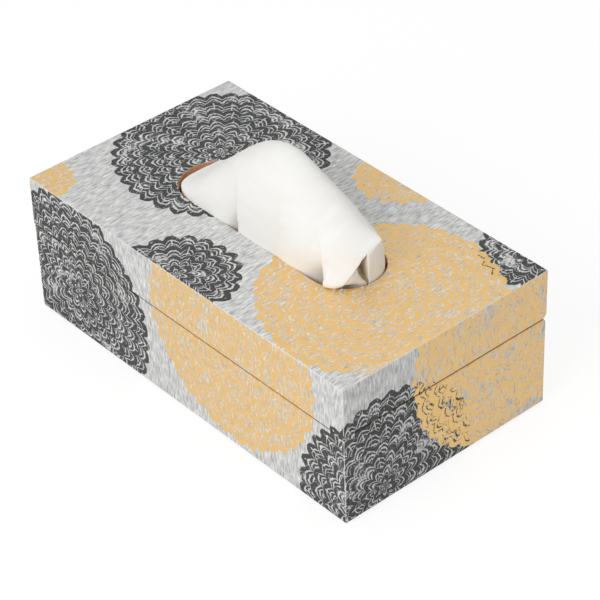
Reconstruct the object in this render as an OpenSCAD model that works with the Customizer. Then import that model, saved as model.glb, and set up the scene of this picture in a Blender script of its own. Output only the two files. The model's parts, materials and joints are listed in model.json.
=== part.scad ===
// Tissue box for folded facial tissues: a board box in a printed cover, with a lid that
// turns on two small brass hinges and has a long slot for the tissues.
// All sizes are in millimetres. The origin is at the middle of the underside, the long
// sides lie along X, the hinges are at the back (+Y) and Z is up.

/* [Box] */
// Length of the lid over its cover
box_len = 250; // [244:1:270]
// Width of the lid over its cover
box_wid = 140; // [136:1:160]
// Height of the closed box, without the felt under it
box_h = 85; // [82:1:110]
// Height of the lid, top board and cover included
lid_h = 30; // [27:1:36]
// Thickness of the wall boards
wall_t = 6; // [5:0.5:8]
// Thickness of the lid's top board
top_t = 6; // [5:0.5:8]
// Thickness of the floor board
floor_t = 4; // [3:0.5:6]
// Depth of the laps that join the boards at the corners
corner_lap = 3; // [2:0.5:4]
// Width of the rebates that hold the floor and the top board
board_lap = 3; // [2:0.5:4]
// Open line between the lid and the base when the lid is shut
seam_gap = 0.7; // [0.2:0.1:1]
// How far the lid stands out past the base on every side
lid_proud = 0.3; // [0:0.1:0.5]

/* [Cover and felt] */
// Thickness of the printed cover
cover_t = 0.5; // [0.4:0.1:0.8]
// Rounding of the cover's outer edges
cover_r = 0.8; // [0.3:0.1:1]
// Width of the cover turned under the base
turn_in = 14; // [10:1:20]
// Thickness of the felt under the base
felt_t = 1; // [0.8:0.2:2]
// How far the felt stays in from the edge of the base
felt_in = 2.5; // [1.5:0.5:6]
// Corner radius of the felt
felt_r = 3; // [1:0.5:8]

/* [Slot] */
// Length of the tissue slot
slot_len = 143; // [130:1:155]
// Width of the tissue slot
slot_wid = 43; // [36:1:50]

/* [Hinges] */
// Distance from the end of the lid to the middle of the hinge there
hinge_end = 50; // [30:1:70]
// Length of one hinge along its pin
hinge_len = 24; // [20:1:32]
// Distance of the pin from the back of the lid
pin_in = 2.4; // [2.3:0.1:2.8]
// Diameter of the hinge pin
pin_d = 1.6; // [1.2:0.1:2]
// Running clearance round the pin in the knuckles
pin_play = 0.05; // [0.03:0.01:0.08]
// Outer diameter of the knuckles
knuckle_d = 3.6; // [3.2:0.1:4]
// Number of knuckles on one hinge
knuckles = 5; // [3:2:7]
// Free space between two knuckles along the pin
knuckle_gap = 0.2; // [0.1:0.05:0.3]
// Free space between a knuckle and the boards round it
knuckle_room = 0.4; // [0.3:0.05:0.6]
// Thickness of the hinge leaves
leaf_t = 0.8; // [0.6:0.1:1]
// Height of the leaf that lies on the inside of a wall
leaf_h = 12; // [10:1:16]
// Corner radius of a leaf
leaf_r = 2; // [0.5:0.5:4]
// Length of the rounded head at each end of a pin
pin_head_h = 0.6; // [0.3:0.1:0.8]
// How much wider than the pin its heads are
pin_head_extra = 0.8; // [0.4:0.1:1.2]
// Largest angle to which the lid opens
lid_open = 95; // [85:1:105]
// Angle still left between the stop bevels when the lid is fully open
stop_slack = 2; // [1:0.5:4]

/* [Screws and magnets] */
// Diameter of the screws that hold the hinges
screw_d = 1.8; // [1.4:0.1:2.2]
// Length of a screw under its head
screw_len = 5; // [4:0.25:5.5]
// Diameter of a screw's head
screw_head_d = 3.4; // [3:0.1:4]
// Height of a screw's head
screw_head_h = 0.9; // [0.6:0.1:1.2]
// Width of the slot across a screw's head
screw_slot = 0.5; // [0.3:0.1:0.7]
// Distance between the two screws of one leaf
screw_span = 14; // [12:1:20]
// Clearance round a screw where it passes through a leaf
screw_room = 0.15; // [0.1:0.05:0.3]
// Diameter of the round magnets
magnet_d = 4; // [3:0.5:4.5]
// Thickness of a magnet
magnet_t = 3; // [2:0.5:5]
// Clearance round a magnet in its hole
magnet_room = 0.05; // [0:0.05:0.1]
// Distance from the end of the lid to the middle of the magnet there
magnet_end = 50; // [20:1:80]

/* [Tissues] */
// Open space left between the pack of folded tissues and the walls round it
pack_room = 9.5; // [3:0.1:14]
// Height of the pack of folded tissues at its long sides
pack_h = 32; // [10:1:40]
// How much higher the middle of the pack stands
pack_crown = 2; // [0.5:0.5:3]
// Radius of the folds along the pack's upper edges
pack_r = 5; // [2:1:8]
// Height of the pulled tissue above the lid
tissue_h = 44; // [30:1:60]
// Height of the pulled tissue's crest at its right end
tissue_end_h = 20.5; // [10:0.5:28]
// Distance of the crest's highest point to the right of the slot's middle
peak_right = 4; // [0:0.5:10]
// Thickness of the pulled tissue's folded layers
tissue_t = 1.2; // [1:0.1:1.6]
// Open space left between the pulled tissue's lower edge and the pack
tail_room = 8.5; // [3:0.5:20]
// Open space left beside the tissue at the slot's left end
tissue_left_room = 5; // [3:0.5:10]
// Open space left beside the tissue at the slot's right end
tissue_right_room = 1; // [0.5:0.5:6]
// Distance of the tissue's crest behind the slot's middle
crest_back = 8; // [0:1:12]
// How far the crest bends back again at its right end
crest_bend = 7; // [0:1:10]
// Number of pleats round the gathered tail
pleats = 12; // [8:1:16]
// Depth of the pleats at the tail's lower edge
pleat_depth = 4; // [1:0.5:5]

/* [Hidden] */
$fn = 64;
eps = 0.01;
through = 2;            // how far a cutter runs past what it cuts

// Levels
cover_z = felt_t;                               // underside of the cover
board_z = cover_z + cover_t;                    // underside of the base's boards
floor_z = board_z + floor_t;                    // top of the floor board
top_z = cover_z + box_h;                        // top of the shut box
lid_board_z = top_z - cover_t;                  // top of the lid's boards
ceiling_z = lid_board_z - top_t;                // underside of the top board
seam_z = top_z - lid_h;                         // middle of the seam, height of the pins
base_rim_z = seam_z - seam_gap / 2;             // top of the base's walls
lid_rim_z = seam_z + seam_gap / 2;              // underside of the lid's rims

// Plans: [length, width] over the cover, over the boards and inside the boards
lid_plan = [box_len, box_wid];
base_plan = [for (side = lid_plan) side - 2 * lid_proud];
lid_board_plan = [for (side = lid_plan) side - 2 * cover_t];
base_board_plan = [for (side = base_plan) side - 2 * cover_t];
lid_room = [for (side = lid_board_plan) side - 2 * wall_t];
base_room = [for (side = base_board_plan) side - 2 * wall_t];

// Hinges
pin_y = box_wid / 2 - pin_in;
pitch = hinge_len / knuckles;
bevel = (lid_open + stop_slack) / 2;            // slope of the stop bevels
recess_end = knuckle_room + pin_head_h;         // recess past the end of a knuckle
hinge_span = box_len - 2 * hinge_end;           // between the middles of the two hinges
hinge_sides = [-1, 1];
magnet_span = box_len - 2 * magnet_end;         // between two magnets of one front edge

// Tissues
pack_plan = [for (side = base_room) side - 2 * pack_room];
pack_top_z = floor_z + pack_h + pack_crown;     // middle of the pack's top
tissue_tail = top_z - pack_top_z - tail_room;   // depth of the tail below the lid's top
tissue_x = [-slot_len / 2 + tissue_left_room, slot_len / 2 - tissue_right_room];
tissue_mid = (tissue_x[0] + tissue_x[1]) / 2;
tissue_half = (tissue_x[1] - tissue_x[0]) / 2;
crest_share = 0.99;                             // the crest's length over the outline's
crest_slant = 0.099;                            // how far the crest comes forward, by its way right
bend_len = 15.5;                                // length of the crest's right end that bends back
sides_n = 48;                                   // points round the tissue
crown_n = 8;                                    // rings above the slot
tail_turn = 0.6;                                // middle of the gathering tail, as its share
slot_depth = top_t + cover_t;                   // the tissue stands straight this deep
last_turn = 86;                                 // where the crown stops short of its ridge
outline_power = 0.62;                           // squareness of the outline in the slot
outline_push = 1.06;                            // how hard it is pressed flat on the slot's sides
left_power = 1.235;                             // fall of the crest to the left
right_power = 1.19;                             // fall of the crest to the right
tail_in = [0.14, 0.42];                         // how much the tail draws in, [x, y]
// Folds in the pulled tissue: [direction, half width in degrees, depth, height it fades over]
folds = [[265, 4, 5, 9], [303, 9, 6, 8], [346, 7, 6, 15], [100, 5, 5, 24], [60, 7, 4, 18]];

// ---- Shapes that repeat ----

// A bar with square ends, centred on Z and standing on z
module bar(size, z, height) {
    translate([-size[0] / 2, -size[1] / 2, z]) cube([size[0], size[1], height]);
}

// A rectangle with four round corners
module round_rect(size, r) {
    square([size[0] - 2 * r, size[1]], center = true);
    square([size[0], size[1] - 2 * r], center = true);
    for (x = [-1, 1], y = [-1, 1])
        translate([x * (size[0] / 2 - r), y * (size[1] / 2 - r)]) circle(r);
}

// The side view of a cover: round corners at the outer end, square at the seam
module side_view(width, height, r) {
    translate([-width / 2, 0]) square([width, height - r]);
    translate([r - width / 2, 0]) square([width - 2 * r, height]);
    for (x = [-1, 1]) translate([x * (width / 2 - r), height - r]) circle(r);
}

// A block with round edges, standing on its square edges at z = 0
module round_block(size, height, r) {
    intersection() {
        linear_extrude(height) round_rect(size, r);
        translate([0, size[1] / 2, 0]) rotate([90, 0, 0])
            linear_extrude(size[1]) side_view(size[0], height, r);
        translate([-size[0] / 2, 0, 0]) rotate([90, 0, 90])
            linear_extrude(size[0]) side_view(size[1], height, r);
    }
}

// The slot's outline: straight sides and half-round ends
module slot_outline() {
    square([slot_len - slot_wid, slot_wid], center = true);
    for (x = [-1, 1]) translate([x * (slot_len - slot_wid) / 2, 0]) circle(slot_wid / 2);
}

module slot_cutter() {
    translate([0, 0, ceiling_z - through])
        linear_extrude(top_t + cover_t + 2 * through) slot_outline();
}

// A rod along X, centred on the hinge line at x
module rod(x, length, r) {
    translate([x - length / 2, pin_y, seam_z]) rotate([0, 90, 0]) cylinder(h = length, r = r);
}

// The wedge that bevels the back edge below the hinge line, or above it when up
module stop_bevel(up) {
    reach = 2 * (pin_in + wall_t);
    mirror_z = up ? 1 : -1;
    translate([-box_len / 2 - through, pin_y, seam_z]) rotate([90, 0, 90])
        linear_extrude(box_len + 2 * through)
            polygon([[0, 0], [reach, 0], [reach, mirror_z * reach * tan(bevel)]]);
}

// Room for both hinges' knuckles and pins
module hinge_recesses() {
    for (side = hinge_sides)
        rod(side * hinge_span / 2, hinge_len + 2 * recess_end, knuckle_d / 2 + knuckle_room);
}

// The shallow seat for a leaf's neck, across the top of a wall that is room_y wide inside
module neck_seats(room_y, z) {
    for (side = hinge_sides)
        translate([side * hinge_span / 2 - hinge_len / 2, room_y / 2 - eps, z])
            cube([hinge_len, pin_y - room_y / 2, leaf_t + eps]);
}

// Everything that a back board or the cover over it loses to the hinges and the stop
module back_cuts(up) {
    stop_bevel(up);
    hinge_recesses();
}

// Pilot holes or shanks of one pair of leaves' screws, starting at the wall face y
module screw_shanks(y, z, r, length) {
    for (side = hinge_sides, end = [-1, 1])
        translate([side * hinge_span / 2 + end * screw_span / 2, y, z])
            rotate([-90, 0, 0]) cylinder(h = length, r = r);
}

// ---- Boards ----

// A long wall: its ends are rebated for the end walls and one edge for a flat board
module long_wall(board, room, z, height, rebate_z, rebate_h) {
    difference() {
        translate([-board[0] / 2, -board[1] / 2, z]) cube([board[0], wall_t, height]);
        for (end = [-1, 1])
            translate([end * (room[0] / 2 + wall_t / 2) - wall_t / 2,
                    -room[1] / 2 - corner_lap, z - through])
                cube([wall_t + (end > 0 ? eps : 0), corner_lap + eps, height + 2 * through]);
        bar([room[0] + 2 * board_lap, room[1] + 2 * board_lap], rebate_z, rebate_h);
    }
}

// An end wall, let into the long walls by the corner laps
module end_wall(room, z, height, rebate_z, rebate_h) {
    difference() {
        translate([-room[0] / 2 - wall_t, -room[1] / 2 - corner_lap, z])
            cube([wall_t, room[1] + 2 * corner_lap, height]);
        bar([room[0] + 2 * board_lap, room[1] + 2 * board_lap], rebate_z, rebate_h);
    }
}

base_wall_h = base_rim_z - board_z;
lid_wall_h = lid_board_z - lid_rim_z;

module base_long_wall() {
    long_wall(base_board_plan, base_room, board_z, base_wall_h, board_z - eps, floor_t + eps);
}

module base_end_wall() {
    end_wall(base_room, board_z, base_wall_h, board_z - eps, floor_t + eps);
}

module lid_long_rim() {
    long_wall(lid_board_plan, lid_room, lid_rim_z, lid_wall_h, ceiling_z, top_t + eps);
}

module lid_end_rim() {
    end_wall(lid_room, lid_rim_z, lid_wall_h, ceiling_z, top_t + eps);
}

// Holes for the magnets, or the magnets themselves, standing on z in a front edge
module magnet_pair(board_y, z, d) {
    for (end = [-1, 1])
        translate([end * magnet_span / 2, -board_y / 2 + wall_t / 2, z])
            cylinder(h = magnet_t, d = d);
}

module base_floor() {
    color("peru")
        bar([base_room[0] + 2 * board_lap, base_room[1] + 2 * board_lap], board_z, floor_t);
}

module base_front_wall() {
    color("peru") difference() {
        base_long_wall();
        magnet_pair(base_board_plan[1], base_rim_z - magnet_t, magnet_d + 2 * magnet_room);
    }
}

module base_back_wall() {
    color("peru") difference() {
        mirror([0, 1, 0]) base_long_wall();
        back_cuts(false);
        neck_seats(base_room[1], base_rim_z - leaf_t);
        screw_shanks(base_room[1] / 2 - eps, base_screw_z, screw_d / 2, screw_grip + eps);
    }
}

module base_left_wall() {
    color("peru") base_end_wall();
}

module base_right_wall() {
    color("peru") mirror([1, 0, 0]) base_end_wall();
}

module lid_top_board() {
    color("chocolate") difference() {
        bar([lid_room[0] + 2 * board_lap, lid_room[1] + 2 * board_lap], ceiling_z, top_t);
        slot_cutter();
    }
}

module lid_front_rim() {
    color("peru") difference() {
        lid_long_rim();
        magnet_pair(lid_board_plan[1], lid_rim_z, magnet_d + 2 * magnet_room);
    }
}

module lid_back_rim() {
    color("peru") difference() {
        mirror([0, 1, 0]) lid_long_rim();
        back_cuts(true);
        neck_seats(lid_room[1], lid_rim_z - eps);
        screw_shanks(lid_room[1] / 2 - eps, lid_screw_z, screw_d / 2, screw_grip + eps);
    }
}

module lid_left_rim() {
    color("peru") lid_end_rim();
}

module lid_right_rim() {
    color("peru") mirror([1, 0, 0]) lid_end_rim();
}

// ---- Cover and felt ----

// The cover of the base goes round its four sides and turns under the boards
module base_cover() {
    height = base_rim_z - cover_z;
    color("darkgray") difference() {
        translate([0, 0, base_rim_z]) mirror([0, 0, 1]) round_block(base_plan, height, cover_r);
        bar(base_board_plan, board_z, height);
        bar([for (side = base_plan) side - 2 * turn_in], cover_z - eps, height);
        back_cuts(false);
    }
}

// The cover of the lid goes over its top and down its four sides
module lid_cover() {
    color("darkgray") difference() {
        translate([0, 0, lid_rim_z]) round_block(lid_plan, top_z - lid_rim_z, cover_r);
        bar(lid_board_plan, lid_rim_z - eps, lid_wall_h + eps);
        slot_cutter();
        back_cuts(true);
    }
}

module base_felt() {
    color("dimgray") linear_extrude(felt_t)
        round_rect([for (side = base_plan) side - 2 * felt_in], felt_r);
}

// ---- Hinges, screws and magnets ----

base_leaf_y = base_room[1] / 2;                 // face of the wall that carries the leaf
lid_leaf_y = lid_room[1] / 2;
base_screw_z = base_rim_z - leaf_h / 2;
lid_screw_z = lid_rim_z + leaf_h / 2;
screw_grip = screw_len - leaf_t;                // length of a screw in the board

// Middle of knuckle i on the hinge at centre x
function knuckle_x(x, i) = x + (i + 0.5 - knuckles / 2) * pitch;

// Knuckles first, first + 2 and so on, each grown by extra all round
module knuckle_row(x, first, extra) {
    for (i = [first : 2 : knuckles - 1])
        rod(knuckle_x(x, i), pitch - knuckle_gap + 2 * extra, knuckle_d / 2 + extra);
}

// The flat part of a leaf against the wall, seen from the front, with two round corners
module leaf_plate() {
    translate([-hinge_len / 2, 0]) square([hinge_len, leaf_h - leaf_r]);
    translate([leaf_r - hinge_len / 2, 0]) square([hinge_len - 2 * leaf_r, leaf_h]);
    for (end = [-1, 1])
        translate([end * (hinge_len / 2 - leaf_r), leaf_h - leaf_r]) circle(leaf_r);
}

// One leaf: a plate inside the wall, a neck over the wall's edge and its knuckles
module leaf(x, up, wall_y, edge_z, first) {
    screw_z = up ? lid_screw_z : base_screw_z;
    neck_z = up ? edge_z : edge_z - leaf_t;
    difference() {
        union() {
            translate([x, wall_y, edge_z]) mirror([0, 0, up ? 0 : 1]) rotate([90, 0, 0])
                linear_extrude(leaf_t) leaf_plate();
            difference() {
                translate([x - hinge_len / 2, wall_y - leaf_t, neck_z])
                    cube([hinge_len, pin_y - wall_y + leaf_t, leaf_t]);
                knuckle_row(x, 1 - first, knuckle_gap);
            }
            knuckle_row(x, first, 0);
        }
        rod(x, hinge_len + 2 * through, pin_d / 2 + pin_play);
        screw_shanks(wall_y - leaf_t - through, screw_z,
            screw_d / 2 + screw_room, leaf_t + 2 * through);
    }
}

module base_leaf(side) {
    color("goldenrod")
        leaf(side * hinge_span / 2, false, base_leaf_y, base_rim_z, 0);
}

module lid_leaf(side) {
    color("goldenrod")
        leaf(side * hinge_span / 2, true, lid_leaf_y, lid_rim_z, 1);
}

// A hinge pin: a rod with a rounded head at each end
module pin(side) {
    x = side * hinge_span / 2;
    head_r = pin_d / 2 + pin_head_extra / 2;
    color("darkgoldenrod") {
        rod(x, hinge_len, pin_d / 2);
        for (end = [-1, 1])
            translate([x + end * (hinge_len / 2 - knuckle_gap / 2), pin_y, seam_z])
                rotate([0, end * 90, 0]) rotate_extrude()
                    intersection() {
                        square([head_r, pin_head_h]);
                        translate([0, pin_head_h - head_r]) circle(head_r);
                    }
    }
}

// The screws of one pair of leaves: shank in the board, domed and slotted head on the leaf
module screws(wall_y, z) {
    dome_r = (pow(screw_head_d / 2, 2) + pow(screw_head_h, 2)) / (2 * screw_head_h);
    color("goldenrod") {
        screw_shanks(wall_y - leaf_t, z, screw_d / 2, screw_len);
        for (side = hinge_sides, end = [-1, 1])
            translate([side * hinge_span / 2 + end * screw_span / 2, wall_y - leaf_t, z])
                rotate([90, 0, 0]) difference() {
                    rotate_extrude() intersection() {
                        square([screw_head_d / 2, screw_head_h]);
                        translate([0, screw_head_h - dome_r]) circle(dome_r);
                    }
                    translate([-screw_head_d / 2, -screw_slot / 2, screw_head_h / 2])
                        cube([screw_head_d, screw_slot, screw_head_h]);
                }
    }
}

module base_hinge_screws() {
    screws(base_leaf_y, base_screw_z);
}

module lid_hinge_screws() {
    screws(lid_leaf_y, lid_screw_z);
}

module base_magnets() {
    color("silver") magnet_pair(base_board_plan[1], base_rim_z - magnet_t, magnet_d);
}

module lid_magnets() {
    color("silver") magnet_pair(lid_board_plan[1], lid_rim_z, magnet_d);
}

// ---- Tissues ----

// The pack is a run of folded sheets: round folds along its upper edges and a low crown
module tissue_stack() {
    top = pack_h + pack_crown;
    crown_r = (pow(pack_plan[1] / 2, 2) + pow(pack_crown, 2)) / (2 * pack_crown);
    color("white") translate([-pack_plan[0] / 2, 0, floor_z]) rotate([90, 0, 90])
        linear_extrude(pack_plan[0]) intersection() {
            side_view(pack_plan[1], top, pack_r);
            translate([0, top - crown_r]) circle(crown_r, $fn = 360);
        }
}

// The pulled tissue is a hollow puff. Ring by ring it rises from its lower edge through the
// slot to the crest; direction a goes round it, 270 being the front, and level s runs from
// -1 at the lower edge over 0 at the slot's top to 1 at the crest.
function power(v, p) = sign(v) * pow(abs(v), p);
function pressed(v) = sign(v) * min(1, abs(v));
function outline(a) = [tissue_mid + tissue_half * power(cos(a), outline_power),
                       slot_wid / 2 * pressed(outline_push * power(sin(a), outline_power))];

// Height of the crest at x: a falling cosine on the left, a shoulder on the right
function crest_h(x) = let (
        end_x = tissue_x[x < peak_right ? 0 : 1],
        way = max(0, min(1, (x - peak_right) / (end_x - peak_right)))
    ) x < peak_right ? tissue_h * pow(cos(90 * way), left_power)
        : tissue_h - (tissue_h - tissue_end_h) * pow(way, right_power);

// How deep the folds cut in towards the middle at direction a and height h
function fold_in(a, h) = let (cuts = [for (f = folds) f[2] * exp(-pow((a - f[0]) / f[1], 2))
    * exp(-pow(max(h, 0) / f[3], 2))]) cuts * [for (f = folds) 1];

// Below the lid the tail draws in and its pleats deepen towards the lower edge
function tail_point(a, s) = let (
        p = outline(a),
        below = max(0, (-s * tissue_tail - slot_depth) / (tissue_tail - slot_depth)),
        inward = below * pleat_depth * (1 - cos(pleats * a)) / 2 + fold_in(a, 0) * (1 - below)
    ) [tissue_mid + (p[0] - tissue_mid) * (1 - below * tail_in[0]) - inward * cos(a),
       p[1] * (1 - below * tail_in[1]) - inward * sin(a),
       s * tissue_tail];

// Depth of the crest at x: it slants forward to the right and bends back at its right end
function crest_y(x) = let (way = max(0, min(1, (x - tissue_x[1]) / bend_len + 1)))
    crest_back - crest_slant * x + crest_bend * way * way * (3 - 2 * way);

// The crown leans back to the crest on a quarter turn
function crown_point(a, s) = let (
        p = outline(a),
        lean = 1 - cos(s * last_turn),
        crest_x = tissue_mid + (p[0] - tissue_mid) * crest_share,
        x = p[0] + (crest_x - p[0]) * lean,
        h = crest_h(x) * sin(s * last_turn) / sin(last_turn),
        inward = fold_in(a, h) * (1 - lean)
    ) [x - inward * cos(a), p[1] * (1 - lean) + crest_y(x) * lean - inward * sin(a), h];

function tissue_point(a, s) = s < 0 ? tail_point(a, s) : crown_point(a, s);

// The inner face lies tissue_t inside the outer one
function inner_point(a, s) = let (turn = max(s, 0) * last_turn)
    tissue_point(a, s) - tissue_t * [cos(a) * cos(turn), sin(a) * cos(turn), sin(turn)];

module pulled_tissue() {
    levels = concat([-1, -tail_turn, -slot_depth / tissue_tail], [for (j = [0 : crown_n]) j / crown_n]);
    rings = len(levels);
    skin_n = rings * sides_n;
    points = concat(
        [for (s = levels, i = [0 : sides_n - 1]) tissue_point(i * 360 / sides_n, s)],
        [for (s = levels, i = [0 : sides_n - 1]) inner_point(i * 360 / sides_n, s)]);
    // two triangles between ring j and ring k at side i, the second skin starting at skin_n
    function band(j, k, i) = let (n = (i + 1) % sides_n, b = j * sides_n, t = k * sides_n)
        [[b + i, t + i, t + n], [b + i, t + n, b + n]];
    // a strip across the narrow last ring, from its front half to its back half
    function cap(first, i) = let (m = sides_n - i, n = sides_n - i - 1)
        i == 0 ? [[first, first + n, first + 1]]
        : i == sides_n / 2 - 1 ? [[first + i, first + m, first + i + 1]]
        : [[first + i, first + m, first + n], [first + i, first + n, first + i + 1]];
    function flip(tri) = [tri[0], tri[2], tri[1]];
    outer = [for (j = [0 : rings - 2], i = [0 : sides_n - 1]) each band(j, j + 1, i)];
    inner = [for (j = [0 : rings - 2], i = [0 : sides_n - 1])
        each [for (tri = band(rings + j, rings + j + 1, i)) flip(tri)]];
    rim = [for (i = [0 : sides_n - 1]) each [for (tri = band(0, rings, i)) flip(tri)]];
    outer_cap = [for (i = [0 : sides_n / 2 - 1]) each cap(skin_n - sides_n, i)];
    inner_cap = [for (i = [0 : sides_n / 2 - 1])
        each [for (tri = cap(2 * skin_n - sides_n, i)) flip(tri)]];
    color("white") translate([0, 0, top_z])
        polyhedron(points, concat(outer, inner, rim, outer_cap, inner_cap));
}

module left_hinge_base_leaf() {
    base_leaf(-1);
}

module right_hinge_base_leaf() {
    base_leaf(1);
}

module left_hinge_lid_leaf() {
    lid_leaf(-1);
}

module right_hinge_lid_leaf() {
    lid_leaf(1);
}

module left_hinge_pin() {
    pin(-1);
}

module right_hinge_pin() {
    pin(1);
}

base_floor();
base_front_wall();
base_back_wall();
base_left_wall();
base_right_wall();
base_cover();
base_felt();
base_magnets();
base_hinge_screws();
left_hinge_base_leaf();
right_hinge_base_leaf();
left_hinge_pin();
right_hinge_pin();
tissue_stack();
lid_top_board();
lid_front_rim();
lid_back_rim();
lid_left_rim();
lid_right_rim();
lid_cover();
lid_magnets();
lid_hinge_screws();
left_hinge_lid_leaf();
right_hinge_lid_leaf();
pulled_tissue();
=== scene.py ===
"""A board tissue box in a printed cover, with its lid, hinges, pack of tissues and one
tissue pulled up through the slot. Sizes are in metres: the long sides lie along X, the
hinges are at +Y and Z is up. The print is laid out on two sheets, one over the lid's top
and one strip round the four sides, and both are drawn by one material.
"""

import json
import logging
import math
from collections.abc import Callable
from dataclasses import dataclass
from enum import Enum
from typing import TypeAlias

import bmesh
import bpy
import numpy as np
from mathutils import Matrix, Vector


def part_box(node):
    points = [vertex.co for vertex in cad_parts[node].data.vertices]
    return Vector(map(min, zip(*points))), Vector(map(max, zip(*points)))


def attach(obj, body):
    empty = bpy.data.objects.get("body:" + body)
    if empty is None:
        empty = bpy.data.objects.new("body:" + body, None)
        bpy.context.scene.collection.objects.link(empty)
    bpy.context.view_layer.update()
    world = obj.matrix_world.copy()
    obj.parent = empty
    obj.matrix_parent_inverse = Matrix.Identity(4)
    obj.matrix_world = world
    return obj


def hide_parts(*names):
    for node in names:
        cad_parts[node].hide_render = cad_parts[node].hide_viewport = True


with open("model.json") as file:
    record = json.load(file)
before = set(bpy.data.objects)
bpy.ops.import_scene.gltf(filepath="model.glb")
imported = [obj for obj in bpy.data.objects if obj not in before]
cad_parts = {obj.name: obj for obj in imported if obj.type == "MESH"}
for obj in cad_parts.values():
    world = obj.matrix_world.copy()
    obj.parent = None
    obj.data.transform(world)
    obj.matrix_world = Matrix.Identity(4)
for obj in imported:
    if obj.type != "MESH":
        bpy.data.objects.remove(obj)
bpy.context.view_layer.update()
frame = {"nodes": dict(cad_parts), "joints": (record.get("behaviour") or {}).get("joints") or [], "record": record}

LOG = logging.getLogger("tissue_box")
MM = 0.001
BOARD = 0.006                       # thickness of the boards
SLOT_HALF = (0.0715, 0.0215)        # half length and half width of the slot
STRIP_V = -1.0                      # where the strip round the sides lies on the print's v axis
SHEET_MAP, CLOTH_MAP = "sheet", "cloth"     # the covers' map and the tissues' map
FOLD_AND_SEAM_SHADE_MARK, PAINTED_SHADE_MARK = "fold", "thin"       # marks of the covers' folds with the seam's painted shade, and of the tissue's painted shade

Array: TypeAlias = np.ndarray
Triple: TypeAlias = tuple[float, float, float]
Colour: TypeAlias = Triple
Pair: TypeAlias = tuple[float, float]
Socket: TypeAlias = bpy.types.NodeSocket
Material: TypeAlias = bpy.types.Material
Object: TypeAlias = bpy.types.Object
Number: TypeAlias = "Value | float"


class Body(Enum):
    """The two bodies that the hinge joins."""

    BASE = "base"
    LID = "lid"


class Slot(Enum):
    """The record's material slots."""

    COVER = "printed_cover"
    WALL = "wall_board"
    SLOT_BOARD = "slot_board"
    FELT = "felt"
    TISSUE = "tissue"
    BRASS = "hinge_brass"
    MAGNET = "magnet"


# ---------------------------------------------------------------- shader tools


def linear(colour: Colour) -> tuple[float, float, float, float]:
    """Turns a screen colour from 0 to 255 into the linear one that shaders take.

    Args:
        colour: Red, green and blue as they show on a screen.

    Returns:
        Linear red, green and blue, and an alpha of 1.
    """
    parts = [c / 255 for c in colour]
    lin = [p / 12.92 if p <= 0.04045 else ((p + 0.055) / 1.055) ** 2.4 for p in parts]
    return (*lin, 1.0)


def adds(operation: str, turned: bool = False) -> Callable[..., "Value"]:
    """Makes a method of Value that adds one Math node.

    Args:
        operation: The node's operation.
        turned: Whether the value itself comes last, as in a reflected operator.

    Returns:
        The method.
    """
    def method(self: "Value", *others: Number) -> "Value":
        """Adds the node on this value and the others."""
        return self.shader.math(operation, *((*others, self) if turned else (self, *others)))

    return method


class Value:
    """A number socket on which Python's operators, and a few methods, add Math nodes."""

    def __init__(self, shader: "Shader", socket: Socket) -> None:
        """Keeps the shader that the socket belongs to."""
        self.shader = shader
        self.socket = socket

    __add__ = __radd__ = adds("ADD")
    __sub__ = adds("SUBTRACT")
    __rsub__ = adds("SUBTRACT", turned=True)
    __mul__ = __rmul__ = adds("MULTIPLY")
    __truediv__ = adds("DIVIDE")
    __lt__ = adds("LESS_THAN")          # 1 where this is the smaller one
    floor = adds("FLOOR")               # next whole number down
    fract = adds("FRACT")               # what is left over it
    size = adds("ABSOLUTE")
    least = adds("MINIMUM")             # the smaller of two
    most = adds("MAXIMUM")              # the larger of two


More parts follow.
